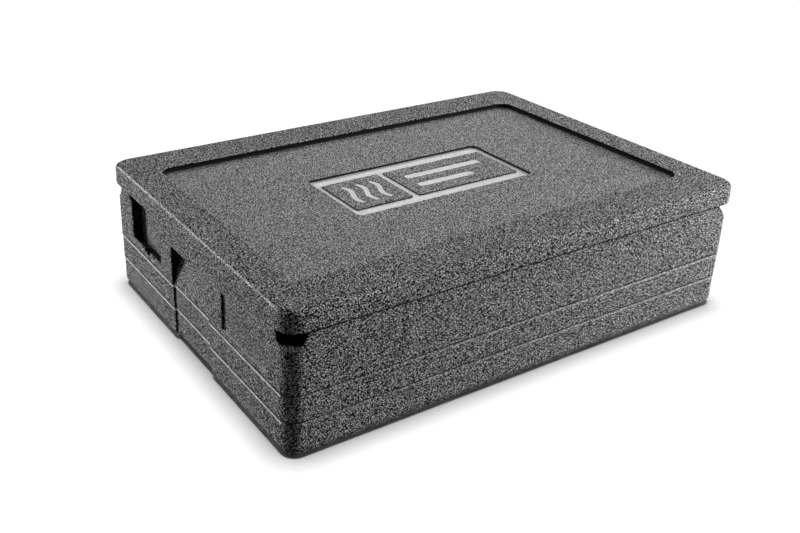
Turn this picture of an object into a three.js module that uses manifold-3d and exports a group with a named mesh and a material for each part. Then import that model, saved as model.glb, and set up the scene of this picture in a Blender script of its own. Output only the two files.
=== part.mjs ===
// Insulated food carrier moulded in black bead foam: a flat box for 600 x 400 baking sheets and the
// loose lid that drops into its rim. Millimetres, +Z up. The origin is on the ground under the middle
// of the box, X runs along the box and the carrying grips are in its two ends.
import * as THREE from "three";
import { mergeVertices } from "three/addons/utils/BufferGeometryUtils.js";
import Module from "manifold-3d";

const wasm = await Module();
wasm.setup();

// ---- Driving dimensions -------------------------------------------------------------------------

// The whole carrier, measured over the lid
const LID_LENGTH = 685;
const LID_WIDTH = 485;
const HEIGHT = 180;

// Lid
const LID_SKIRT = 27.5; // from the seam to the top
const LID_OVERHANG = 2.5; // the lid stands out past the box by this much on every side
const LID_TOP_ROUND = 5;
const LID_FOOT_ROUND = 2;
const LID_THICKNESS = 30; // from the inner panel to the top
const FIT = 0.5; // clearance between the lid and the rim that it drops into

// Sunken field in the top of the lid
const FIELD_BORDER_END = 43.5;
const FIELD_BORDER_SIDE = 61;
const FIELD_DEPTH = 8;
const FIELD_DRAFT = 2.5;
const FIELD_RADIUS = 18;

// Moulded badge in the middle of the field
const BADGE_LENGTH = 280;
const BADGE_WIDTH = 127;
const BADGE_DEPTH = 3.5;
const BADGE_RADIUS = 7;
const BADGE_END_MARGIN = 9; // from the pocket's ends to its two raised panels
const BADGE_SIDE_MARGIN = 20;
const BADGE_GAP = 9; // between the two panels
const PANEL_HEIGHT = 1.8;
const PANEL_RADIUS = 3;

// Emblem of three rising waves, sunk through the square panel
const WAVE_COUNT = 3;
const WAVE_PITCH = 21;
const WAVE_STROKE = 8;
const WAVE_HEIGHT = 56;
const WAVE_SWING = 4;

// Two plain grooves in the long panel
const GROOVE_LENGTHS = [126, 92];
const GROOVE_WIDTH = 13;
const GROOVE_PITCH = 30;
const GROOVE_MARGIN = 19;
const GROOVE_DEPTH = 1;

// Box
const WALL = 27.5;
const FLOOR = 30;
const BOX_RADIUS = 20;
const CAVITY_RADIUS = 18;
const CAVITY_FILLET = 8;
const RIM_DEPTH = 10; // the step inside the rim that the lid's tongue sits in
const RIM_WIDTH = 8;
const TONGUE_WIDTH = 16;

// The wall narrows by a hair at two step lines
const STEP_LINES = [77, 43.5];
const STEP_INSET = 0.6;

// Foot
const FOOT_INSET = 7;
const FOOT_HEIGHT = 5;
const FOOT_ROUND = 2;
const BASE_CHAMFER = 5;
const BASE_PANEL_BORDER = 50; // the underside is hollowed a little inside this border
const BASE_PANEL_DEPTH = 3;

// Channel down the middle of each end, with the grip at its top
const CHANNEL_WIDTH = 104;
const CHANNEL_DEPTH = 3;
const CHANNEL_DRAFT = 2;
const CHANNEL_FOOT_DEPTH = 7;
const GRIP_DROP = 21; // from the seam down to the grip's lip
const GRIP_DEPTH = 20;
const GRIP_RISE = 5; // the grip's ceiling climbs by this much towards the back
const GRIP_SILL = 3; // from the upper step line to the start of the grip's ramp
const GRIP_RADIUS = 12;

// Card pocket beside the grip, open at the rim, with a lip and a thumb notch
const POCKET_INNER_MARGIN = 34; // from the channel
const POCKET_OUTER_MARGIN = 60.5; // from the side of the box
const POCKET_DEPTH = 14;
const POCKET_SILL = 15.4; // from the upper step line to the lip
const POCKET_TROUGH = 8.5; // the trough behind the lip is lower than the lip by this much
const POCKET_MOUTH_WIDER = 7;
const POCKET_MOUTH_HEIGHT = 7;
const POCKET_MOUTH_SLOPE = 3;
const THUMB_TOP_WIDTH = 28;
const THUMB_FOOT_WIDTH = 13;
const THUMB_DEPTH = 7.2;

// Smooth label field on the other side of the grip
const LABEL_INNER_MARGIN = 36.7;
const LABEL_OUTER_MARGIN = 47.8;
const LABEL_DEPTH = 3.5;
const LABEL_SILL = 8.7;
const LABEL_DROP = 19.5; // from the seam down to the field's top edge

// Finger notch in the rim at each corner: a sloping cut seen along the corner's diagonal
const NOTCH_HEIGHT = 14;
const NOTCH_START = 14; // the sloping floor meets NOTCH_HEIGHT at this distance in from the corner
const NOTCH_TOP_WIDTH = 42;
const NOTCH_FOOT_WIDTH = 28;

const CORNER_STEPS = 7; // straight edges in a quarter turn
const PAST = 5; // a cutting tool runs past the surface by this much

// ---- Worked out from them -----------------------------------------------------------------------

const SEAM = HEIGHT - LID_SKIRT;
const BOX_LENGTH = LID_LENGTH - 2 * LID_OVERHANG;
const BOX_WIDTH = LID_WIDTH - 2 * LID_OVERHANG;
const CAVITY_LENGTH = BOX_LENGTH - 2 * WALL;
const CAVITY_WIDTH = BOX_WIDTH - 2 * WALL;
const FIELD_LENGTH = LID_LENGTH - 2 * FIELD_BORDER_END;
const FIELD_WIDTH = LID_WIDTH - 2 * FIELD_BORDER_SIDE;
const FIELD_FLOOR = HEIGHT - FIELD_DEPTH;
const BADGE_FLOOR = FIELD_FLOOR - BADGE_DEPTH;
const PANEL_TOP = BADGE_FLOOR + PANEL_HEIGHT;
const PANEL_WIDTH = BADGE_WIDTH - 2 * BADGE_SIDE_MARGIN;
const SQUARE_PANEL_X = -BADGE_LENGTH / 2 + BADGE_END_MARGIN + PANEL_WIDTH / 2;
const LONG_PANEL_START = SQUARE_PANEL_X + PANEL_WIDTH / 2 + BADGE_GAP;
const LONG_PANEL_LENGTH = BADGE_LENGTH / 2 - BADGE_END_MARGIN - LONG_PANEL_START;
const GRIP_LIP = SEAM - GRIP_DROP;
const RAMP_START = STEP_LINES[0] + GRIP_SILL;
const POCKET_LIP = STEP_LINES[0] + POCKET_SILL;
const POCKET_INNER = CHANNEL_WIDTH / 2 + POCKET_INNER_MARGIN;
const POCKET_OUTER = BOX_WIDTH / 2 - POCKET_OUTER_MARGIN;
const LABEL_INNER = CHANNEL_WIDTH / 2 + LABEL_INNER_MARGIN;
const LABEL_OUTER = BOX_WIDTH / 2 - LABEL_OUTER_MARGIN;

// ---- Solids -------------------------------------------------------------------------------------

/** A closed three.js geometry as a solid that can be joined and cut. */
function solid(geometry) {
  const bare = geometry.clone();
  bare.deleteAttribute("normal");
  bare.deleteAttribute("uv");
  const merged = mergeVertices(bare, 1e-4);
  return new wasm.Manifold(
    new wasm.Mesh({
      numProp: 3,
      vertProperties: new Float32Array(merged.attributes.position.array),
      triVerts: new Uint32Array(merged.index.array),
    }),
  );
}

/** A solid back as a three.js geometry. */
function geometryOf(made) {
  const mesh = made.getMesh();
  const geometry = new THREE.BufferGeometry();
  geometry.setAttribute("position", new THREE.BufferAttribute(mesh.vertProperties, 3));
  geometry.setIndex(new THREE.BufferAttribute(mesh.triVerts, 1));
  geometry.computeVertexNormals();
  return geometry;
}

/** A plan outline raised from z = bottom to z = top. */
function slab(shape, bottom, top) {
  const geometry = new THREE.ExtrudeGeometry(shape, {
    depth: top - bottom,
    bevelEnabled: false,
    curveSegments: CORNER_STEPS,
  });
  return solid(geometry.translate(0, 0, bottom));
}

/** The same with both rims taken in by `inset` over a height of `rise`, in `steps` facets. */
function easedSlab(shape, bottom, top, inset, rise, steps) {
  const geometry = new THREE.ExtrudeGeometry(shape, {
    depth: top - bottom - 2 * rise,
    bevelEnabled: true,
    bevelSize: inset,
    bevelOffset: -inset,
    bevelThickness: rise,
    bevelSegments: steps,
    curveSegments: CORNER_STEPS,
  });
  return solid(geometry.translate(0, 0, bottom + rise));
}

/** An outline drawn in Y and Z, seen from outside the -X end, pushed along +X from x = start. */
function endTool(shape, start, depth) {
  const geometry = new THREE.ExtrudeGeometry(shape, {
    depth,
    bevelEnabled: false,
    curveSegments: CORNER_STEPS,
  });
  const frame = new THREE.Matrix4().makeBasis(
    new THREE.Vector3(0, 1, 0),
    new THREE.Vector3(0, 0, 1),
    new THREE.Vector3(1, 0, 0),
  );
  return solid(geometry.applyMatrix4(frame).translate(start, 0, 0));
}

/** An outline drawn in X and Z, pushed along Y from y = start to y = end. */
function sideTool(shape, start, end) {
  const geometry = new THREE.ExtrudeGeometry(shape, { depth: end - start, bevelEnabled: false });
  geometry.rotateX(Math.PI / 2);
  return solid(geometry.translate(0, end, 0));
}

/** The solid and its copy turned half a turn about Z, for the two ends. */
function bothEnds(made) {
  return made.add(made.rotate([0, 0, 180]));
}

// ---- Outlines -----------------------------------------------------------------------------------

function roundedRect(length, width, radius, x = 0, y = 0) {
  const right = length / 2 - radius;
  const back = width / 2 - radius;
  const shape = new THREE.Shape();
  shape.absarc(x + right, y + back, radius, 0, Math.PI / 2);
  shape.absarc(x - right, y + back, radius, Math.PI / 2, Math.PI);
  shape.absarc(x - right, y - back, radius, Math.PI, 1.5 * Math.PI);
  shape.absarc(x + right, y - back, radius, 1.5 * Math.PI, 2 * Math.PI);
  shape.closePath();
  return shape;
}

function polygon(points) {
  return new THREE.Shape(points.map(([x, y]) => new THREE.Vector2(x, y)));
}

/** Plan of the box taken in by `inset`, with the channel cut into both ends. */
function channelledPlan(inset, channelDepth) {
  const length = BOX_LENGTH / 2 - inset;
  const width = BOX_WIDTH / 2 - inset;
  const radius = BOX_RADIUS - inset;
  const mouth = CHANNEL_WIDTH / 2;
  const foot = mouth - CHANNEL_DRAFT;
  const shape = new THREE.Shape();
  for (const side of [1, -1]) {
    shape.lineTo(side * length, -side * mouth);
    shape.lineTo(side * (length - channelDepth), -side * foot);
    shape.lineTo(side * (length - channelDepth), side * foot);
    shape.lineTo(side * length, side * mouth);
    const turn = side > 0 ? 0 : Math.PI;
    shape.absarc(
      side * (length - radius), side * (width - radius), radius, turn, turn + Math.PI / 2);
    shape.absarc(
      -side * (length - radius), side * (width - radius), radius,
      turn + Math.PI / 2, turn + Math.PI);
  }
  shape.curves.shift(); // the stroke from (0, 0) to the first point
  shape.closePath();
  return shape;
}

/** An upright wavy stroke with square ends. */
function wave(x) {
  const steps = 12;
  const left = [];
  const right = [];
  for (let i = 0; i <= steps; i++) {
    const up = (i / steps - 0.5) * WAVE_HEIGHT;
    const middle = x + WAVE_SWING * Math.sin((2 * Math.PI * i) / steps);
    left.unshift([middle - WAVE_STROKE / 2, up]);
    right.push([middle + WAVE_STROKE / 2, up]);
  }
  return polygon([...right, ...left]);
}

// ---- Box ----------------------------------------------------------------------------------------

/** The solid block of the box: three tiers, a chamfer and a foot. */
function boxBlock() {
  const [upperLine, lowerLine] = STEP_LINES;
  const chamferFoot = FOOT_HEIGHT;
  const top = slab(roundedRect(BOX_LENGTH, BOX_WIDTH, BOX_RADIUS), upperLine, SEAM);
  const middle = slab(channelledPlan(STEP_INSET, CHANNEL_DEPTH), lowerLine, upperLine);
  const bottom = easedSlab(
    channelledPlan(2 * STEP_INSET, CHANNEL_DEPTH),
    chamferFoot, lowerLine + BASE_CHAMFER, BASE_CHAMFER, BASE_CHAMFER, 1);
  const foot = easedSlab(
    channelledPlan(FOOT_INSET, CHANNEL_FOOT_DEPTH),
    0, chamferFoot + FOOT_ROUND + 1, FOOT_ROUND, FOOT_ROUND, 2);
  const panel = slab(
    roundedRect(BOX_LENGTH - 2 * BASE_PANEL_BORDER, BOX_WIDTH - 2 * BASE_PANEL_BORDER, BOX_RADIUS),
    -PAST, BASE_PANEL_DEPTH);
  return top.add(middle).add(bottom).add(foot).subtract(panel);
}

/** The room for the food, and the step round its rim for the lid. */
function boxRoom() {
  const room = easedSlab(
    roundedRect(CAVITY_LENGTH, CAVITY_WIDTH, CAVITY_RADIUS),
    FLOOR, SEAM + PAST + CAVITY_FILLET, CAVITY_FILLET, CAVITY_FILLET, 3);
  const rim = slab(
    roundedRect(
      CAVITY_LENGTH + 2 * RIM_WIDTH, CAVITY_WIDTH + 2 * RIM_WIDTH, CAVITY_RADIUS + RIM_WIDTH),
    SEAM - RIM_DEPTH, SEAM + PAST);
  return room.add(rim);
}

/** The grip in the -X end: a slot with round upper corners and a ramp for its back. */
function gripTool() {
  const face = -BOX_LENGTH / 2;
  const half = CHANNEL_WIDTH / 2;
  const lipBack = GRIP_LIP + GRIP_RISE;
  const mouth = new THREE.Shape();
  mouth.moveTo(-half, STEP_LINES[0]);
  mouth.lineTo(half, STEP_LINES[0]);
  mouth.absarc(half - GRIP_RADIUS, lipBack - GRIP_RADIUS, GRIP_RADIUS, 0, Math.PI / 2);
  mouth.absarc(-half + GRIP_RADIUS, lipBack - GRIP_RADIUS, GRIP_RADIUS, Math.PI / 2, Math.PI);
  mouth.closePath();
  const section = polygon([
    [face - PAST, STEP_LINES[0]],
    [face + CHANNEL_DEPTH, STEP_LINES[0]],
    [face + CHANNEL_DEPTH, RAMP_START],
    [face + GRIP_DEPTH, lipBack],
    [face, GRIP_LIP],
    [face - PAST, GRIP_LIP],
  ]);
  return endTool(mouth, face - PAST, PAST + GRIP_DEPTH).intersect(sideTool(section, -half, half));
}

/** The card pocket in the -X end, on its +Y side. */
function pocketTool() {
  const face = -BOX_LENGTH / 2;
  const mouthFoot = SEAM - POCKET_MOUTH_HEIGHT;
  const trough = POCKET_LIP - POCKET_TROUGH;
  const outline = polygon([
    [POCKET_INNER, trough],
    [POCKET_OUTER, trough],
    [POCKET_OUTER, mouthFoot - POCKET_MOUTH_SLOPE],
    [POCKET_OUTER + POCKET_MOUTH_WIDER, mouthFoot],
    [POCKET_OUTER + POCKET_MOUTH_WIDER, SEAM + PAST],
    [POCKET_INNER, SEAM + PAST],
  ]);
  const section = polygon([
    [face - PAST, POCKET_LIP],
    [face, POCKET_LIP],
    [face + POCKET_DEPTH, trough],
    [face + POCKET_DEPTH, SEAM + PAST],
    [face - PAST, SEAM + PAST],
  ]);
  const pocket = endTool(outline, face - PAST, PAST + POCKET_DEPTH).intersect(
    sideTool(section, POCKET_INNER, POCKET_OUTER + POCKET_MOUTH_WIDER));
  const middle = (POCKET_INNER + POCKET_OUTER) / 2;
  const thumb = polygon([
    [middle - THUMB_FOOT_WIDTH / 2, POCKET_LIP - THUMB_DEPTH],
    [middle + THUMB_FOOT_WIDTH / 2, POCKET_LIP - THUMB_DEPTH],
    [middle + THUMB_TOP_WIDTH / 2, POCKET_LIP + PAST],
    [middle - THUMB_TOP_WIDTH / 2, POCKET_LIP + PAST],
  ]);
  return pocket.add(endTool(thumb, face - PAST, PAST + POCKET_DEPTH));
}

/** The label field in the -X end, on its -Y side. */
function labelTool() {
  const outline = polygon([
    [-LABEL_OUTER, STEP_LINES[0] + LABEL_SILL],
    [-LABEL_INNER, STEP_LINES[0] + LABEL_SILL],
    [-LABEL_INNER, SEAM - LABEL_DROP],
    [-LABEL_OUTER, SEAM - LABEL_DROP],
  ]);
  return endTool(outline, -BOX_LENGTH / 2 - PAST, PAST + LABEL_DEPTH);
}

/** The four finger notches: one outline swept down and out at 45 degrees along each diagonal. */
function notchTools() {
  const reach = NOTCH_START + NOTCH_HEIGHT;
  const rise = reach + PAST;
  const outline = polygon([
    [-NOTCH_FOOT_WIDTH / 2, 0],
    [NOTCH_FOOT_WIDTH / 2, 0],
    [NOTCH_TOP_WIDTH / 2, NOTCH_HEIGHT],
    [NOTCH_TOP_WIDTH / 2, rise],
    [-NOTCH_TOP_WIDTH / 2, rise],
    [-NOTCH_TOP_WIDTH / 2, NOTCH_HEIGHT],
  ]);
  const geometry = new THREE.ExtrudeGeometry(outline, { depth: reach + PAST, bevelEnabled: false });
  // The outline's own axes become: across the diagonal, up, and out along the falling floor.
  geometry.applyMatrix4(new THREE.Matrix4().makeBasis(
    new THREE.Vector3(-Math.SQRT1_2, Math.SQRT1_2, 0),
    new THREE.Vector3(0, 0, 1),
    new THREE.Vector3(Math.SQRT1_2, Math.SQRT1_2, -1),
  ));
  const tool = solid(geometry);
  const tools = [[1, 1], [-1, 1], [-1, -1], [1, -1]].map(([x, y], quarter) =>
    tool.rotate([0, 0, 90 * quarter]).translate([
      x * (BOX_LENGTH / 2 - reach * Math.SQRT1_2),
      y * (BOX_WIDTH / 2 - reach * Math.SQRT1_2),
      SEAM,
    ]));
  return tools.reduce((all, next) => all.add(next));
}

function buildBox() {
  return boxBlock()
    .subtract(boxRoom())
    .subtract(bothEnds(gripTool()))
    .subtract(bothEnds(pocketTool()))
    .subtract(bothEnds(labelTool()))
    .subtract(notchTools());
}

// ---- Lid ----------------------------------------------------------------------------------------

/** The lid's block: eased at the top and at the seam, with the tongue that drops into the rim. */
function lidBlock() {
  const foot = SEAM + FIT;
  const plan = roundedRect(LID_LENGTH, LID_WIDTH, BOX_RADIUS + LID_OVERHANG);
  const softTop = easedSlab(plan, foot - 2 * PAST, HEIGHT, LID_TOP_ROUND, LID_TOP_ROUND, 3);
  const softFoot = easedSlab(plan, foot, HEIGHT + 2 * PAST, LID_FOOT_ROUND, LID_FOOT_ROUND, 1);
  const tongueLength = CAVITY_LENGTH + 2 * (RIM_WIDTH - FIT);
  const tongueWidth = CAVITY_WIDTH + 2 * (RIM_WIDTH - FIT);
  const tongueRadius = CAVITY_RADIUS + RIM_WIDTH - FIT;
  const tongue = slab(
    roundedRect(tongueLength, tongueWidth, tongueRadius), SEAM - RIM_DEPTH + FIT, foot + PAST);
  const inner = slab(
    roundedRect(
      tongueLength - 2 * TONGUE_WIDTH, tongueWidth - 2 * TONGUE_WIDTH, tongueRadius - TONGUE_WIDTH),
    SEAM - RIM_DEPTH - PAST, HEIGHT - LID_THICKNESS);
  return softTop.intersect(softFoot).add(tongue).subtract(inner);
}

/** The sunken field and, in its middle, the pocket of the badge. */
function fieldTool() {
  const field = easedSlab(
    roundedRect(FIELD_LENGTH, FIELD_WIDTH, FIELD_RADIUS),
    FIELD_FLOOR, HEIGHT + FIELD_DEPTH, FIELD_DRAFT, FIELD_DEPTH, 1);
  const badge = slab(roundedRect(BADGE_LENGTH, BADGE_WIDTH, BADGE_RADIUS), BADGE_FLOOR, HEIGHT);
  return field.add(badge);
}

/** The badge's two raised panels, one with the waves and one with the grooves. */
function badgePanels() {
  const square = roundedRect(PANEL_WIDTH, PANEL_WIDTH, PANEL_RADIUS, SQUARE_PANEL_X);
  for (let i = 0; i < WAVE_COUNT; i++)
    square.holes.push(wave(SQUARE_PANEL_X + (i - (WAVE_COUNT - 1) / 2) * WAVE_PITCH));
  const long = roundedRect(
    LONG_PANEL_LENGTH, PANEL_WIDTH, PANEL_RADIUS, LONG_PANEL_START + LONG_PANEL_LENGTH / 2);
  const root = BADGE_FLOOR - BADGE_DEPTH; // the panels grow out of the lid, so they start inside it
  const grooves = GROOVE_LENGTHS.map((length, row) =>
    slab(
      roundedRect(
        length, GROOVE_WIDTH, GROOVE_WIDTH / 2 - 0.1,
        LONG_PANEL_START + GROOVE_MARGIN + length / 2, (0.5 - row) * GROOVE_PITCH),
      PANEL_TOP - GROOVE_DEPTH, PANEL_TOP + PAST));
  return slab(square, root, PANEL_TOP)
    .add(slab(long, root, PANEL_TOP))
    .subtract(grooves.reduce((all, next) => all.add(next)));
}

function buildLid() {
  return lidBlock().subtract(fieldTool()).add(badgePanels());
}

// ---- The scene ----------------------------------------------------------------------------------

/** A named mesh in bead foam of the given colour. */
function foamPiece(name, made, color) {
  const foam = new THREE.MeshStandardMaterial({ color, roughness: 0.85, metalness: 0 });
  foam.name = name + "_foam";
  const mesh = new THREE.Mesh(geometryOf(made), foam);
  mesh.name = name;
  return mesh;
}

const carrier = new THREE.Group();
carrier.name = "insulated_food_carrier";
carrier.add(foamPiece("box", buildBox(), 0x2b2b2c));
carrier.add(foamPiece("lid", buildLid(), 0x323233));

export default carrier;
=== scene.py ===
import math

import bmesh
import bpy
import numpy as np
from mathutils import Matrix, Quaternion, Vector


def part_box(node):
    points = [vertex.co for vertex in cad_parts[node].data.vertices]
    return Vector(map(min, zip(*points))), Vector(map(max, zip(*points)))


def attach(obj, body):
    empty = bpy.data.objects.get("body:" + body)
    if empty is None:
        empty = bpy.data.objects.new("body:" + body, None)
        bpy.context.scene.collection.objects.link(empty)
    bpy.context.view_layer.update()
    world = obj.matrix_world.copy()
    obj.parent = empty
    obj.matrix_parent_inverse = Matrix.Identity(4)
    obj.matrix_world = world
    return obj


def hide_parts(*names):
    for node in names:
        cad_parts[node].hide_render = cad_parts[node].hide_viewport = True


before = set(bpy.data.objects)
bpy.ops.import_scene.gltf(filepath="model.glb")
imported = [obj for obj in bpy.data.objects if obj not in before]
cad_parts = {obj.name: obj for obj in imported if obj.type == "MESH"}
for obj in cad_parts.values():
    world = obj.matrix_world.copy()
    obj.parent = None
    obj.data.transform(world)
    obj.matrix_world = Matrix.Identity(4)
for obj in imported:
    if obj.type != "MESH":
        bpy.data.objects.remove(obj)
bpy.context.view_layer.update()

# %% [markdown]
# # A food carrier moulded in black bead foam
# The real thing is two mouldings of expanded polypropylene: a deep box and a loose lid that drops into
# its rim. The frame that was just loaded holds both in their true size. This lesson gives each of them
# the eased edges, the bead skin and the light that such a moulding has. The sizes are millimetres while
# a shape is worked out, and they become metres when it is put into a mesh.

MM = 0.001
lid_low, lid_high = (np.array(corner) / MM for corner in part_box("lid"))
box_low, box_high = (np.array(corner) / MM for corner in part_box("box"))
print("lid from", lid_low.round(1), "to", lid_high.round(1))
print("box from", box_low.round(1), "to", box_high.round(1))

# %% [markdown]
# ## Surfaces from arrays
# A moulding like the lid is one profile that runs once round a rounded rectangle: out over the top, down
# the skirt and in under the tongue. So the whole surface is a function of two parameters, the place round
# the plan and the place along the profile. The plan is written once as a table of factors, and each point
# of the profile only says how long, wide, round and high its own ring is.

# %% The plan: one row of factors for each column of the surface
ARC_STEPS = 10
LONG_STEPS = 12
SHORT_STEPS = 8


def plan_factors():
    """Factors that turn (half length, half width, corner radius) into the outline of a rounded rectangle.

    On the arc of the corner with signs (sx, sy), x is sx times the half length plus (cos(turn) - sx)
    times the radius, and y the same with the half width and the sine. Between two arcs the factors are
    blended in a straight line. The columns run anticlockwise seen from above."""
    rows = []
    for quarter, (sx, sy) in enumerate([(1, 1), (-1, 1), (-1, -1), (1, -1)]):
        turn = (quarter + np.linspace(0, 1, ARC_STEPS + 1)) * np.pi / 2
        one = np.ones_like(turn)
        rows.append(np.stack([sx * one, np.cos(turn) - sx, sy * one, np.sin(turn) - sy], 1))
    table = []
    for corner, steps in zip(range(4), [LONG_STEPS, SHORT_STEPS, LONG_STEPS, SHORT_STEPS]):
        blend = np.linspace(0, 1, steps + 1)[1:-1, None]
        table.append(rows[corner])
        table.append((1 - blend) * rows[corner][-1] + blend * rows[(corner + 1) % 4][0])
    return np.concatenate(table)


PLAN = plan_factors()
print("columns round a plan:", len(PLAN))

# %% [markdown]
# A moulded edge is never sharp, because foam beads cannot fill a sharp corner of the tool. Every corner
# of the profile is therefore replaced by a short curve. A quadratic curve through three points does it
# for all four numbers of a ring at once, so the corner radius of the plan shrinks along with the edge.

# %% The profile, with each of its corners rounded over
def round_over(knots, reach, steps=5):
    """Profile points with each inner knot replaced by a curve that starts and ends `reach` away from it.

    With a and b the points at that distance before and after the knot k, the curve at t from 0 to 1 is
    (1-t)^2 a + 2t(1-t) k + t^2 b. A reach is cut to just under half of the stretch that it lies on."""
    knots = np.asarray(knots, float)
    reach = np.asarray(reach, float)
    back = knots[:-2] - knots[1:-1]
    ahead = knots[2:] - knots[1:-1]
    stretch_back = np.hypot(back[:, 0], back[:, 3])
    stretch_ahead = np.hypot(ahead[:, 0], ahead[:, 3])
    reach = np.minimum(reach, 0.49 * np.minimum(stretch_back, stretch_ahead))
    start = knots[1:-1] + back * (reach / stretch_back)[:, None]
    end = knots[1:-1] + ahead * (reach / stretch_ahead)[:, None]
    t = np.linspace(0, 1, steps + 1)[None, :, None]
    curve = (1 - t) ** 2 * start[:, None] + 2 * t * (1 - t) * knots[1:-1, None] + t**2 * end[:, None]
    return np.concatenate([knots[:1], curve.reshape(-1, knots.shape[1]), knots[-1:]])


square_corner = [(0, 0, 0, 0), (10, 0, 0, 0), (10, 0, 0, 10)]
print("a square corner rounded over by 3:", round_over(square_corner, [3])[:, [0, 3]].round(1).tolist())

# %% [markdown]
# The table of factors and the rings together give every point of the surface: one ring is one row of a
# grid, and one row of factors is one column. The faces join neighbours in that grid, and the two ends
# are closed by flat faces.

# %% From rings to points and faces
def lofted(rings):
    """Vertices and faces of the surface through all rings, closed by a flat face at both ends.

    Vertex (i, j) is ring i at column j: x and y are the plan's factors times the ring's half length, half
    width and radius, and z is the ring's height."""
    half_x, half_y, radius, height = rings.T[:, :, None]
    x = half_x * PLAN[:, 0] + radius * PLAN[:, 1]
    y = half_y * PLAN[:, 2] + radius * PLAN[:, 3]
    points = np.stack([x, y, np.broadcast_to(height, x.shape)], 2).reshape(-1, 3)
    faces = grid_faces(len(rings), len(PLAN), wraps=True).tolist()
    faces.append(list(range(len(PLAN))))
    faces.append(list(range(len(points) - 1, len(points) - 1 - len(PLAN), -1)))
    return points, faces


def grid_faces(rows, columns, wraps):
    """Four-cornered faces between neighbouring rows and columns of a grid of vertices."""
    index = np.arange(rows * columns).reshape(rows, columns)
    if wraps:
        index = np.concatenate([index, index[:, :1]], 1)
    here, below = index[:-1], index[1:]
    return np.stack([here[:, :-1], below[:, :-1], below[:, 1:], here[:, 1:]], 2).reshape(-1, 4)


print("a grid of 3 by 3 points has", len(grid_faces(3, 3, wraps=False)), "faces")

# %% [markdown]
# Smooth shading by itself would smear a rounded edge over the flat faces beside it. Weighted normals lean
# towards the larger faces, so a flat face stays flat up to its edge, as it does on a real moulding.

# %% A mesh from the arrays, and the shading that suits a moulding
SMOOTH_BELOW = math.radians(50)


def foam_object(name, points, faces):
    """A new object with its place in its mesh, in metres."""
    mesh = bpy.data.meshes.new(name)
    mesh.from_pydata((points * MM).tolist(), [], faces)
    made = bpy.data.objects.new(name, mesh)
    bpy.context.scene.collection.objects.link(made)
    return made


def shade_moulding(made):
    """Smooth shading that keeps flat faces flat: each normal follows the larger faces round it."""
    made.data.polygons.foreach_set("use_smooth", np.ones(len(made.data.polygons), bool))
    made.data.set_sharp_from_angle(angle=SMOOTH_BELOW)
    lean = made.modifiers.new("flat faces stay flat", "WEIGHTED_NORMAL")
    lean.keep_sharp = True
    print(made.name, len(made.data.vertices), "vertices,", len(made.data.polygons), "faces")


print("edges under", round(math.degrees(SMOOTH_BELOW)), "degrees are shaded smooth")

# %% [markdown]
# ## The lid
# The lid is a shallow tray turned over. Its top carries a wide sunken field that locates the foot of the
# next carrier in a stack, and in the middle of the field lies the polished pocket of the badge. The
# profile starts on the floor of that pocket and ends under the inner panel.

# %% The lid's profile
LID_X, LID_Y, LID_TOP = lid_high
LID_TONGUE = lid_low[2]
LID_FOOT = LID_TONGUE + 10
FIELD_X, FIELD_Y, FIELD_FLOOR = LID_X - 43.5, LID_Y - 61, LID_TOP - 8
BADGE_X, BADGE_Y, BADGE_FLOOR = 140, 63.5, LID_TOP - 11.5
TONGUE_X, TONGUE_Y, TONGUE_WIDTH = LID_X - 22.5, LID_Y - 22.5, 16
LID_CORNER, FIELD_CORNER, BADGE_CORNER, TONGUE_CORNER = 22.5, 18, 7, 25.5
FIELD_DRAFT = 2.5
UNDERSIDE = LID_TOP - 30

LID_PROFILE = [  # half length, half width, corner radius, height, and how far the edge is rounded over
    (BADGE_X - 4, BADGE_Y - 4, BADGE_CORNER - 4, BADGE_FLOOR, 0),
    (BADGE_X, BADGE_Y, BADGE_CORNER, BADGE_FLOOR, 0.7),
    (BADGE_X, BADGE_Y, BADGE_CORNER, FIELD_FLOOR, 1.0),
    (FIELD_X - FIELD_DRAFT, FIELD_Y - FIELD_DRAFT, FIELD_CORNER - FIELD_DRAFT, FIELD_FLOOR, 1.8),
    (FIELD_X, FIELD_Y, FIELD_CORNER, LID_TOP, 2.2),
    (LID_X, LID_Y, LID_CORNER, LID_TOP, 6.0),
    (LID_X, LID_Y, LID_CORNER, LID_FOOT, 2.2),
    (TONGUE_X, TONGUE_Y, TONGUE_CORNER, LID_FOOT, 1.5),
    (TONGUE_X, TONGUE_Y, TONGUE_CORNER, LID_TONGUE, 1.5),
    (TONGUE_X - TONGUE_WIDTH, TONGUE_Y - TONGUE_WIDTH, TONGUE_CORNER - TONGUE_WIDTH, LID_TONGUE, 1.5),
    (TONGUE_X - TONGUE_WIDTH, TONGUE_Y - TONGUE_WIDTH, TONGUE_CORNER - TONGUE_WIDTH, UNDERSIDE, 2.5),
    (TONGUE_X - 40, TONGUE_Y - 40, 8, UNDERSIDE, 0),
]
lid_rings = np.array(LID_PROFILE)
lid = foam_object("lid_moulding", *lofted(round_over(lid_rings[:, :4], lid_rings[1:-1, 4])))
shade_moulding(lid)
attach(lid, "lid_body")
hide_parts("lid")

# %% [markdown]
# ## The badge's two raised panels
# Each panel is a plate 1.8 mm high that stands on the pocket's floor. It is a grid over the panel whose
# height is a function of the place: down at the rim, and down again inside a sunk mark. The columns of
# the square panel swing with the waves, so that the marks' edges always lie along the grid.

# %% Grid lines that gather where the height changes
RIM_INSET = np.array([0, 0.12, 0.3, 0.6, 1.0])
EDGE_SPREAD = np.array([-0.45, -0.25, 0, 0.25, 0.45])
EDGE_CLEARANCE = 0.8


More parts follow.
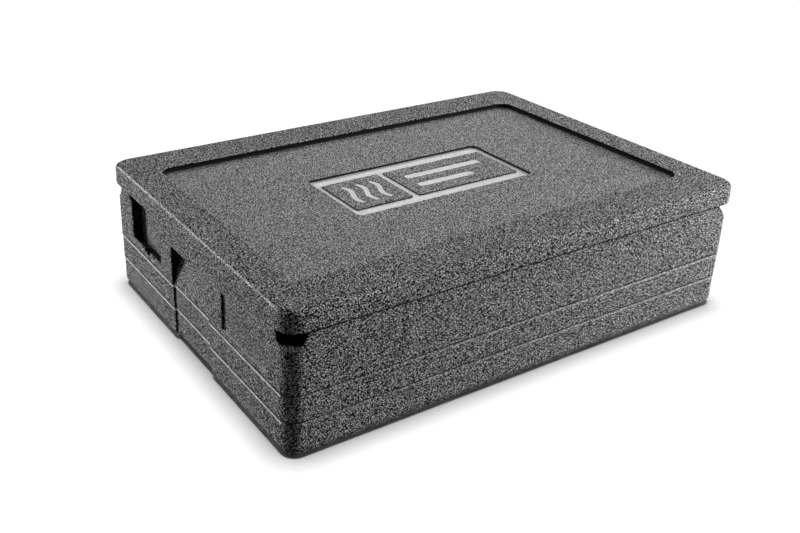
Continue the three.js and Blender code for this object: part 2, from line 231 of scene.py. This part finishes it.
def lines_round(half, edges, pitch):
    """Places from -half to half: every `pitch`, and five close together at each rim and mark edge."""
    coarse = np.arange(-half + RIM_INSET[-1] + pitch / 2, half - RIM_INSET[-1], pitch)
    fine = [edge + EDGE_SPREAD for edge in edges]
    inner = np.unique(np.concatenate([coarse, *fine]).round(4)) if edges else coarse
    near = np.min(np.abs(inner[:, None] - np.array(edges or [1e9])[None]), 1)
    keep = (near <= EDGE_SPREAD[-1] + 1e-4) | (near > EDGE_CLEARANCE)
    return np.concatenate([-half + RIM_INSET, inner[keep], half - RIM_INSET[::-1]])


print("lines across 12 mm with an edge in the middle:", lines_round(6, [0], 2).round(2).tolist())

# %% [markdown]
# A plate's height is the rise of its rim less the depth of its marks, so no point is placed by hand. Its
# rounded corners come from the same grid, whose square rings are pulled inwards at the corners.

# %% One raised plate
PANEL_RISE = 1.8
PANEL_CORNER = 3.0
RIM_HEIGHT = [-0.4, 1.25, 1.58, 1.74, PANEL_RISE]


def ease(t):
    """0 before 0, 1 after 1, and 3t^2 - 2t^3 between them."""
    t = np.clip(t, 0, 1)
    return t * t * (3 - 2 * t)


def panel(name, centre_x, half_x, half_y, u, v, shift, mark_depth):
    """A raised plate over the grid u by v, with rounded corners and the given sunk marks.

    The square ring that a grid point lies on becomes a rounded one: past the inner rectangle, the way to
    the point is shortened to the larger of its two parts. The height rises over the rim, less the marks'
    depth, and `shift` moves a point along x. One flat face through the whole rim closes the plate
    underneath."""
    x, y = np.meshgrid(u, v, indexing="ij")
    inner_x = np.clip(x, -half_x + PANEL_CORNER, half_x - PANEL_CORNER)
    inner_y = np.clip(y, -half_y + PANEL_CORNER, half_y - PANEL_CORNER)
    out_x, out_y = x - inner_x, y - inner_y
    square = np.maximum(np.abs(out_x), np.abs(out_y))
    shrink = np.where(square > 0, square / np.maximum(np.hypot(out_x, out_y), 1e-9), 1)
    inset = np.minimum(half_x - np.abs(x), half_y - np.abs(y))
    rim = np.interp(inset, RIM_INSET, RIM_HEIGHT)
    z = BADGE_FLOOR + rim - mark_depth(x, y)
    px = centre_x + inner_x + out_x * shrink + shift(x, y)
    py = inner_y + out_y * shrink
    points = np.stack([px, py, z], 2).reshape(-1, 3)
    faces = grid_faces(len(u), len(v), wraps=False).tolist()
    index = np.arange(len(points)).reshape(x.shape)
    rim_loop = [index[0, :-1], index[:-1, -1], index[-1, :0:-1], index[:0:-1, 0]]
    faces.append(np.concatenate(rim_loop).tolist())
    made = foam_object(name, points, faces)
    shade_moulding(made)
    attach(made, "lid_body")
    return made


print("a plate rises by", PANEL_RISE, "mm, with corners of", PANEL_CORNER, "mm")

# %% [markdown]
# The square panel carries three rising waves, a plain sign for warmth. In the grid's own terms a wave is
# a straight stroke. It is the grid's columns that swing, so the stroke's edge stays clean.

# %% The square panel, with its three sunk waves
PANEL = 43.5
BADGE_FRAME = 9
SQUARE_X = -BADGE_X + BADGE_FRAME + PANEL
MARK_SOFT = 0.9
WAVE_PLACES = np.array([-21.0, 0, 21.0])
WAVE_HALF_STROKE, WAVE_HALF_HEIGHT, WAVE_SWING, WAVE_DEPTH = 4, 28, 4, 0.9
SWING_END, SWING_FADE = 38, 6


def wave_shift(x, y):
    """Swing of the columns: the sine of one full turn over the wave's height, faded out near the rim."""
    window = ease((SWING_END - np.abs(x)) / SWING_FADE)
    turn = np.clip(y / WAVE_HALF_HEIGHT, -1, 1) * np.pi
    return window * WAVE_SWING * np.sin(turn)


def wave_depth(x, y):
    """The full depth inside a stroke and 0 outside it, measured before the columns swing."""
    across = WAVE_HALF_STROKE - np.min(np.abs(x[..., None] - WAVE_PLACES), -1)
    along = WAVE_HALF_HEIGHT - np.abs(y)
    return WAVE_DEPTH * ease(across / MARK_SOFT + 0.5) * ease(along / MARK_SOFT + 0.5)


stroke_edges = [place + side * WAVE_HALF_STROKE for place in WAVE_PLACES for side in (-1, 1)]
square_panel = panel(
    "badge_square_panel", SQUARE_X, PANEL, PANEL,
    lines_round(PANEL, stroke_edges, pitch=1.6),
    lines_round(PANEL, [-WAVE_HALF_HEIGHT, WAVE_HALF_HEIGHT], pitch=1.6),
    wave_shift, wave_depth)

# %% [markdown]
# The long panel stands where a label would be, and two plain grooves with round ends keep it free of
# words. A groove is every place that lies nearer than half its width to a short straight line.

# %% The long panel, with two plain grooves
LONG_START = SQUARE_X + PANEL + BADGE_FRAME
LONG_HALF = (BADGE_X - BADGE_FRAME - LONG_START) / 2
LONG_X = LONG_START + LONG_HALF
GROOVES = [(126, 15.0), (92, -15.0)]  # length, and place across the panel
GROOVE_HALF = 6.5
GROOVE_INDENT = 19


def groove_depth(x, y):
    """1 mm inside either groove: the distance to the groove's middle line is under half its width."""
    depth = np.zeros_like(x)
    for length, middle in GROOVES:
        start = -LONG_HALF + GROOVE_INDENT + GROOVE_HALF
        along = np.clip(x, start, start + length - 2 * GROOVE_HALF)
        away = np.hypot(x - along, y - middle)
        depth = np.maximum(depth, ease((GROOVE_HALF - away) / MARK_SOFT + 0.5))
    return depth


groove_edges = [middle + side * GROOVE_HALF for _, middle in GROOVES for side in (-1, 1)]
long_panel = panel(
    "badge_long_panel", LONG_X, LONG_HALF, PANEL,
    lines_round(LONG_HALF, [], pitch=1.0), lines_round(PANEL, groove_edges, pitch=1.0),
    lambda x, y: 0 * x, groove_depth)

# %% [markdown]
# ## The box
# The box is cut into at both ends: the carrying grip, the card pocket, the smooth label field and the
# finger notches at its corners. The frame's own solid already holds those cuts in their true places, so
# a copy of it is merged, its flat faces are joined up, and every sharp edge is rounded over by a bevel.
# The two hair-fine step lines are left sharp, or the rounding would run across them.

# %% A copy of the box with eased edges
EDGE_REACH = 1.3
STEP_LINES = (77.0, 43.5)
LEDGE_REACH = 0.6
KEPT_SHARP = 0.8
SHARP_ABOVE = 25
FLAT_WITHIN = math.radians(0.6)
SAME_POINT = 2e-6


def is_ledge(face):
    """Whether a face looks up or down at the height of a step line."""
    height = face.calc_center_median().z / MM
    return abs(face.normal.z) > 0.7 and min(abs(height - line) for line in STEP_LINES) < LEDGE_REACH


def eased_copy(node, name):
    """The frame's solid with its sharp edges rounded over, as a new object.

    An edge's weight is 1 where its two faces meet at more than 25 degrees, and 0 elsewhere and beside a
    step line, where the ledge is narrower than the rounding. The ledges are cut into triangles, because
    one face that runs half round the box on so narrow a strip would not survive the rounding."""
    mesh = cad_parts[node].data.copy()
    work = bmesh.new()
    work.from_mesh(mesh)
    bmesh.ops.remove_doubles(work, verts=work.verts, dist=SAME_POINT)
    bmesh.ops.dissolve_limit(work, angle_limit=FLAT_WITHIN, verts=work.verts[:], edges=work.edges[:])
    bmesh.ops.triangulate(work, faces=[face for face in work.faces if is_ledge(face)])
    angles = np.array([edge.calc_face_angle(0) for edge in work.edges])
    ends = np.array([[vertex.co[:] for vertex in edge.verts] for edge in work.edges]) / MM
    work.to_mesh(mesh)
    work.free()
    middle = ends.mean(1)
    steep = np.degrees(angles) > SHARP_ABOVE
    beside = np.min(np.abs(middle[:, 2:3] - np.array(STEP_LINES)), 1) < KEPT_SHARP
    weight = np.where(steep & ~beside, 1.0, 0.0)
    layer = mesh.attributes.get("bevel_weight_edge") or mesh.attributes.new(
        "bevel_weight_edge", "FLOAT", "EDGE")
    layer.data.foreach_set("value", weight)
    print(name, "has", int(weight.sum()), "edges to round over by", EDGE_REACH, "mm")
    made = bpy.data.objects.new(name, mesh)
    bpy.context.scene.collection.objects.link(made)
    bevel = made.modifiers.new("eased edges", "BEVEL")
    bevel.limit_method = "WEIGHT"
    bevel.width = EDGE_REACH * MM
    bevel.segments = 3
    bevel.use_clamp_overlap = False
    bevel.miter_outer = "MITER_ARC"
    return made


box = eased_copy("box", "box_moulding")
shade_moulding(box)
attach(box, "box_body")
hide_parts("box")

# %% [markdown]
# ## Writing shader maths as Python
# A finish is a small program. One class wraps a socket, so that sums and products of sockets are written
# as such and add their Math nodes by themselves. Any other node comes from one method, which takes the
# node's type, its settings and the values or links of its sockets.

# %% A socket that can be used in sums
class Wire:
    """An output socket of a material's node tree."""

    def __init__(self, tree, socket=None):
        self.tree = tree
        self.socket = socket

    def node(self, kind, settings=None, inputs=None, out=0):
        """Adds a node: its settings first, then its inputs, each a number, a colour or another wire."""
        made = self.tree.nodes.new(kind)
        for key, value in (settings or {}).items():
            setattr(made, key, value)
        for key, value in (inputs or {}).items():
            if isinstance(value, Wire):
                self.tree.links.new(value.socket, made.inputs[key])
            else:
                made.inputs[key].default_value = value
        return Wire(self.tree, made.outputs[out]) if len(made.outputs) else made

    def math(self, operation, *others):
        """One Math node on this value and the others."""
        inputs = dict(enumerate((self, *others)))
        return self.node("ShaderNodeMath", {"operation": operation}, inputs)

    def __add__(self, other):
        return self.math("ADD", other)

    def __sub__(self, other):
        return self.math("SUBTRACT", other)

    def __mul__(self, other):
        return self.math("MULTIPLY", other)

    def __rsub__(self, other):
        return self.math("MULTIPLY_ADD", -1.0, other)

    __radd__ = __add__
    __rmul__ = __mul__

    def rising(self, start, end):
        """0 below `start`, 1 above `end`, eased between them."""
        settings = {"interpolation_type": "SMOOTHSTEP"}
        return self.node("ShaderNodeMapRange", settings, {0: self, 1: start, 2: end, 3: 0.0, 4: 1.0})

    def inside(self, low, high, soft):
        """1 between `low` and `high`, falling to 0 within `soft` on either side."""
        return self.rising(low - soft, low + soft) * (1 - self.rising(high - soft, high + soft))

    def larger(self, *others):
        """The largest of this value and the others, taken one after the other."""
        result = self
        for other in others:
            result = result.math("MAXIMUM", other)
        return result

    def size(self):
        """The value without its sign."""
        return self.math("ABSOLUTE")

    def parts(self):
        """The three numbers of a vector."""
        split = self.node("ShaderNodeSeparateXYZ", None, {0: self})
        return [Wire(self.tree, socket) for socket in split.socket.node.outputs]


print("a wire's methods:", ", ".join(name for name in vars(Wire) if not name.startswith("_")))

# %% [markdown]
# ## Bead foam
# Expanded polypropylene is thousands of black beads, steamed together in a tool. Where the tool is
# coarse, the skin shows the beads as little crumpled domes with dull gaps between them. Where it is
# polished, the beads are pressed flat and the skin is smooth and paler. So the finish needs cells for the
# beads, a finer noise for their crumples, and masks for the places that differ from plain skin.

# %% The bead pattern
BEADS_PER_METRE = 600.0
CRUMPLES_PER_METRE = 760.0
SWAYS_PER_METRE = 190.0
SWAY_REACH = 0.002
PATTERN_TURN = (0.7, 0.5, 0.3)


def bead_pattern(place):
    """Flecks from 0 to 1 and the skin's height at a place, both from the cells and the noise.

    The place is turned first: noise fades near the planes of its own lattice, and the walls lie along
    them. The cells' places then sway with a slow noise, so that the cells aren't a regular honeycomb. A
    fleck is ten times the noise's distance from its middle, plus 1.6 times the nearness to a cell's
    middle, and the height is 0.7 times that nearness plus 0.8 times the noise."""
    turned = place.node("ShaderNodeMapping", None, {"Vector": place, "Rotation": PATTERN_TURN})
    sway = turned.node(
        "ShaderNodeTexNoise", None, {"Vector": turned, "Scale": SWAYS_PER_METRE, "Detail": 1.0}, "Color")
    swayed = turned.node(
        "ShaderNodeVectorMath", {"operation": "MULTIPLY_ADD"}, {0: sway, 1: (SWAY_REACH,) * 3, 2: turned})
    cells = turned.node(
        "ShaderNodeTexVoronoi", None, {"Vector": swayed, "Scale": BEADS_PER_METRE}, "Distance")
    skin = turned.node(
        "ShaderNodeTexNoise", None,
        {"Vector": turned, "Scale": CRUMPLES_PER_METRE, "Detail": 1.0, "Roughness": 0.5,
         "Distortion": 0.1}, 0)
    fleck = (skin - 0.5) * 10.0 + (0.45 - cells) * 1.6 + 0.30
    height = (1 - cells) * 0.7 + skin * 0.8
    return fleck.node("ShaderNodeClamp", None, {0: fleck}), height


print("cells and crumples in mm:", (1000 / np.array([BEADS_PER_METRE, CRUMPLES_PER_METRE])).round(1))

# %% [markdown]
# The foam's colour is the flecks' tone raised to a power, which leaves small bright flecks on a dark
# ground.
# A polished place has calmer and paler flecks, a painted highlight is pale all over, and a place painted
# black, mostly as shade, has hardly any. The same pattern raises the bump, so that raking light finds the
# beads.

# %% One material for both mouldings, told apart by their masks
def bead_foam(name, masks):
    """A bead-foam material. `masks` takes x, y and z in millimetres and how far the skin faces along x
    and along z, and gives three wires: where the skin is polished, where a painted highlight makes it
    pale, and where it is painted dead black, mostly as shade.

    0 is plain skin and 1 is the full effect. A polish below 0 is coarser than plain skin, and a painted
    highlight above 1 is paler still. The tone is the fleck's distance from the middle, times how lively
    the place is, plus a base that rises with the polish. The tint is the tone to the power of 3.2."""
    material = bpy.data.materials.new(name)
    material.use_nodes = True
    tree = material.node_tree
    tree.nodes.clear()
    start = Wire(tree)
    place = start.node("ShaderNodeTexCoord", None, None, "Object")
    x, y, z = [along * (1 / MM) for along in place.parts()]
    facing_x, _, facing_z = start.node("ShaderNodeNewGeometry", None, None, "Normal").parts()
    fleck, height = bead_pattern(place)
    polished, painted_highlight, black = masks(x, y, z, facing_x.size(), facing_z.size())
    lively = (1.35 - polished * 1.1) * (1 - black)
    tone = (fleck - 0.5) * lively + 0.46 + polished * 0.42
    tint = (tone.math("POWER", 3.2) * 0.8) * (1 - black * 0.93) + painted_highlight * (fleck * 0.3 + 0.3)
    colour = tint.node("ShaderNodeCombineColor", None, {0: tint, 1: tint, 2: tint * 1.01})
    rough = 0.78 + black * 0.2 - fleck * 0.12 - polished * 0.06 - painted_highlight * 0.2
    bump = tone.node(
        "ShaderNodeBump", None,
        {"Strength": 0.8, "Distance": 0.0008, "Height": height * lively * (1 - painted_highlight * 0.7)})
    surface = tone.node(
        "ShaderNodeBsdfPrincipled", None,
        {"Base Color": colour, "Roughness": rough, "Normal": bump, "Specular IOR Level": 0.2})
    tone.node("ShaderNodeOutputMaterial", None, {"Surface": surface})
    print(name, "has", len(tree.nodes), "nodes")
    return material


def cover(piece, material):
    """Gives a piece this one material."""
    piece.data.materials.clear()
    piece.data.materials.append(material)


# %% [markdown]
# The lid's border is the coarsest, its sunken field is calmer, and the badge's pocket is polished and
# pale, with a painted sheen over it. The short walls round the field and the pocket are drawn off the
# tool, so they are smooth, and they are painted black as shade, and so are the seam and the rounded
# corners of the skirt.
# The top's edges carry a painted highlight.

# %% The lid's foam
def lid_masks(x, y, z, facing_end, facing_up):
    """Each mask is a product of bands along x, y and z, and of how far the skin faces up."""
    ax, ay = x.size(), y.size()
    sunk = (
        (1 - ax.rising(FIELD_X + 2, FIELD_X + 3)) * (1 - ay.rising(FIELD_Y + 2, FIELD_Y + 3))
        * z.rising(LID_TOP - 20, LID_TOP - 19))
    field = sunk * (1 - z.rising(FIELD_FLOOR + 1.5, FIELD_FLOOR + 5.5))
    pocket = sunk * (1 - z.rising(BADGE_FLOOR + 1.1, BADGE_FLOOR + 1.4))
    # painted shade: the steep walls of the field, the pocket and the panels are painted black where shade
    # falls
    wall = sunk * (1 - facing_up.rising(0.45, 0.85)) * (1 - z.rising(LID_TOP - 1.5, LID_TOP - 0.3))
    border = (1 - sunk) * facing_up.rising(0.7, 0.95)
    # painted highlight along the top's edges: full on the ends, a quarter as strong along the long sides
    end_edge = (ax + z).rising(LID_X + LID_TOP - 3.7, LID_X + LID_TOP - 3.1)
    side_edge = (ay + z).rising(LID_Y + LID_TOP - 4.0, LID_Y + LID_TOP - 3.1)
    # painted shade: a black band along the seam under the skirt, and on the skirt's rounded corners
    seam = 1 - z.rising(LID_FOOT + 0.4, LID_FOOT + 2)
    corner = (ax + ay).rising(LID_X + LID_Y - 14, LID_X + LID_Y - 9)
    corner = corner * (1 - z.rising(LID_TOP - 8, LID_TOP - 3))
    polished = field * 0.6 + pocket * 0.4 - border * 0.45
    # painted highlight on the top's edges, and a painted sheen over the pocket on top of its paler
    # polished skin
    painted_highlight = (pocket * (1 - wall) * 1.5).larger(end_edge, side_edge * 0.25)
    return polished, painted_highlight, wall.larger(seam, corner * 0.8, border * 0.1)


lid_foam = bead_foam("lid_bead_foam", lid_masks)
for piece in (lid, square_panel, long_panel):
    cover(piece, lid_foam)

# %% [markdown]
# On the box, the floors of the grip, the pocket and the label field are calmer. The two step lines and
# the label field's lower edge carry a painted highlight, the step lines most of all on the end faces and
# more towards the right. The sides of the cuts, the finger notches at the corners and the seam are
# painted black as shade, and a thin painted shadow lies above each step line.

# %% The box's foam
BOX_X, BOX_Y, BOX_TOP = box_high
CHANNEL_SIDE = 53.5  # the grip's ramp fills the middle channel, to this far either side
POCKET_SPAN = (62, 195)  # the card pocket and the label field lie between these, along y
LABEL_SPAN = (88.5, 192.5)
LABEL_FOOT = 85.7
CUT_FOOT, CUT_BACK, CUT_END = 80, 25, 196
NOTCH_REACH, NOTCH_HEIGHT = 49, 15.3


def box_masks(x, y, z, facing_end, facing_up):
    """The same kind of bands: a cut's floor lies behind the end face, a step line is a thin band of z."""
    ax, ay = x.size(), y.size()
    end_face = ax.rising(BOX_X - 7, BOX_X - 6)
    outside = end_face.larger(ay.rising(BOX_Y - 7, BOX_Y - 6))
    above_foot = z.rising(CUT_FOOT - 1, CUT_FOOT + 1)
    behind = ax.rising(BOX_X - CUT_BACK, BOX_X - CUT_BACK + 1) * (1 - ax.rising(BOX_X - 3, BOX_X - 2.2))
    beside = ay.inside(*POCKET_SPAN, 1) * above_foot
    ramp = (1 - ay.rising(CHANNEL_SIDE - 0.5, CHANNEL_SIDE + 0.5)) * above_foot
    ramp = ramp * (1 - ax.rising(BOX_X - 4.5, BOX_X - 3.5))
    # painted highlight on each step line
    line, above = 0, 0
    for height in STEP_LINES:
        away = z - (height - 0.4)
        line = line + (1 - away.size().rising(1.4, 2.2))
        # painted shadow: a thin dark band just above each step line
        above = above + away.inside(2.2, 3.6, 0.4)
    corner = ax.rising(BOX_X - 20, BOX_X - 14) * ay.rising(BOX_Y - 20, BOX_Y - 14)
    end = end_face * (1 - ay.rising(BOX_Y - 1.5, BOX_Y - 1))
    # the step lines' painted highlight grows towards the right and is strongest on the end faces, as the
    # light falls
    painted_light_to_the_right = (x + 300).rising(0, 600) * 0.5 + 0.35
    line = line * outside * (1 - corner) * (end * 3.0 + painted_light_to_the_right)
    # painted highlight along the label field's lower edge
    ledge = (
        z.inside(LABEL_FOOT - 0.3, LABEL_FOOT + 0.3, 0.2) * ay.inside(*LABEL_SPAN, 0.5)
        * ax.rising(BOX_X - 4, BOX_X - 3.5))
    # painted shade in the finger notches at the corners
    notch_start = BOX_X + BOX_Y - NOTCH_REACH
    notch = (
        (ax + ay).rising(notch_start, notch_start + 2) * (1 - ax.rising(BOX_X - 1.7, BOX_X - 1))
        * (1 - ay.rising(BOX_Y - 1.7, BOX_Y - 1)) * z.inside(BOX_TOP - NOTCH_HEIGHT, BOX_TOP - 0.3, 0.4))
    # painted shade along the seam, and on the sides of the cuts
    seam = z.rising(BOX_TOP - 1.7, BOX_TOP - 0.7) * outside
    side_of_cut = (
        ax.inside(BOX_X - 18.5, BOX_X - 1.5, 0.5) * (1 - ay.rising(CUT_END, CUT_END + 3))
        * z.inside(12, BOX_TOP - 3.5, 1) * (1 - facing_end.rising(0.5, 0.8)))
    polished = behind * (beside + ramp) * 0.55
    black = notch.larger(side_of_cut, seam * 0.9, above * outside * 0.5)
    return polished, line.larger(ledge * 1.4), black


box_foam = bead_foam("box_bead_foam", box_masks)
cover(box, box_foam)

# %% [markdown]
# ## The studio
# The floor is pale, plain and wide. It is hidden from bounced and mirrored rays, or it would light the
# foam from below, and the shadows between the beads would turn grey.

# %% The floor
FLOOR_HALF = 6.0
FLOOR_SHADE = 0.86
stage = bpy.data.collections.new("stage")
bpy.context.scene.collection.children.link(stage)


def pale_floor():
    """A square at height 0, in plain matt off-white."""
    mesh = bpy.data.meshes.new("floor")
    corners = np.array([(-1, -1, 0), (1, -1, 0), (1, 1, 0), (-1, 1, 0)]) * FLOOR_HALF
    mesh.from_pydata(corners.tolist(), [], [(0, 1, 2, 3)])
    floor = bpy.data.objects.new("floor", mesh)
    stage.objects.link(floor)
    material = bpy.data.materials.new("pale_floor")
    material.use_nodes = True
    shader = material.node_tree.nodes["Principled BSDF"]
    shader.inputs["Base Color"].default_value = (FLOOR_SHADE, FLOOR_SHADE, FLOOR_SHADE, 1)
    shader.inputs["Roughness"].default_value = 0.9
    mesh.materials.append(material)
    floor.visible_diffuse = False
    floor.visible_glossy = False
    return floor


floor = pale_floor()
print("the floor is", 2 * FLOOR_HALF, "m wide")

# %% [markdown]
# Black foam is drawn by the light that rakes over its beads. So the floor has a light of its own, and it
# stays evenly pale while the object's lights are set for the object alone.

# %% The floor's own light
MIDDLE = (0, 0, 0.09)


def lamp(kind, name, energy, **settings):
    """A light of one kind on the stage, with its own settings."""
    data = bpy.data.lights.new(name, kind)
    data.energy = energy
    for key, value in settings.items():
        setattr(data, key, value)
    made = bpy.data.objects.new(name, data)
    stage.objects.link(made)
    return made


def aim(made, place):
    """Puts a light at a place and turns it towards the middle of the object."""
    made.location = place
    made.rotation_euler = (Vector(MIDDLE) - Vector(place)).to_track_quat("-Z", "Y").to_euler()


floor_light = lamp("SUN", "floor_light", 3.9, angle=math.radians(22))
aim(floor_light, (0.0, 0.0, 3.0))
only_floor = bpy.data.collections.new("only_floor")
only_floor.objects.link(floor)
floor_light.light_linking.receiver_collection = only_floor
print("the floor's light has a strength of", round(floor_light.data.energy, 1))

# %% [markdown]
# Six square soft lights stand round the object. Those on the right give the long side its fall from
# bright to dark, the one high behind draws the top and its sunken field, and those on the left let the
# end face and the lid's edge stand out from the dark corner between the two walls.

# %% The lights on the object
only_object = bpy.data.collections.new("only_object")
for piece in (lid, square_panel, long_panel, box):
    only_object.objects.link(piece)


def softbox(name, azimuth, elevation, energy, side=1.1, distance=2.4):
    """A square soft light on a sphere round the object, pointed at its middle."""
    around, up = math.radians(azimuth), math.radians(elevation)
    place = (
        distance * math.cos(around) * math.cos(up), distance * math.sin(around) * math.cos(up),
        MIDDLE[2] + distance * math.sin(up))
    made = lamp("AREA", name, energy, shape="RECTANGLE", size=side, size_y=side)
    aim(made, place)
    made.light_linking.receiver_collection = only_object
    print(name, "has", energy, "W at", azimuth, "degrees round and", elevation, "up")
    return made


softbox("right_light", 338, 9, 13, side=0.7, distance=1.4)
softbox("front_right_light", 330, 12, 14)
softbox("high_right_light", 330, 35, 12)
softbox("high_back_light", 60, 35, 14)
softbox("left_back_light", 135, 3, 20, side=0.7)
softbox("left_edge_light", 135, 27, 12, side=0.35)

# %% [markdown]
# The camera sees a white room. The object itself gets only a faint light from it, so that the shadows
# between the beads stay dark.

# %% The surroundings
AIR_LIGHT = 0.05
world = bpy.data.worlds.new("studio")
bpy.context.scene.world = world
world.use_nodes = True
world.node_tree.nodes.clear()
room = Wire(world.node_tree)
seen = room.node("ShaderNodeLightPath", None, None, "Is Camera Ray")
level = seen * (1 - AIR_LIGHT) + AIR_LIGHT
grey = room.node("ShaderNodeCombineColor", None, {0: level, 1: level, 2: level})
air = room.node("ShaderNodeBackground", None, {"Color": grey, "Strength": 1.0})
room.node("ShaderNodeOutputWorld", None, {"Surface": air})
bpy.context.scene.view_settings.view_transform = "Standard"
print("the air's light on the object:", AIR_LIGHT)

# %% [markdown]
# ## The camera
# The object is seen from its near left corner and a little from above, with a normal lens.

# %% The camera
CAMERA_PLACE = (-0.7502, -0.9851, 0.6706)
CAMERA_YAW, CAMERA_PITCH, CAMERA_ROLL = 0.9862, 0.4024, 0.0241
FOCAL_IN_WIDTHS = 1.2442
SENSOR_WIDTH = 36
SHIFT_X, SHIFT_Y = 0.05, -0.09
camera_data = bpy.data.cameras.new("camera")
camera_data.sensor_width = SENSOR_WIDTH
camera_data.lens = SENSOR_WIDTH * FOCAL_IN_WIDTHS
camera_data.shift_x = SHIFT_X
camera_data.shift_y = SHIFT_Y
camera = bpy.data.objects.new("camera", camera_data)
bpy.context.scene.collection.objects.link(camera)
camera.location = CAMERA_PLACE
ahead = Vector((
    math.cos(CAMERA_YAW) * math.cos(CAMERA_PITCH), math.sin(CAMERA_YAW) * math.cos(CAMERA_PITCH),
    -math.sin(CAMERA_PITCH)))
turn = ahead.to_track_quat("-Z", "Y")
turn.rotate(Quaternion(ahead, -CAMERA_ROLL))
camera.rotation_euler = turn.to_euler()
bpy.context.scene.camera = camera
print("lens of", round(camera_data.lens, 1), "mm")

# %% [markdown]
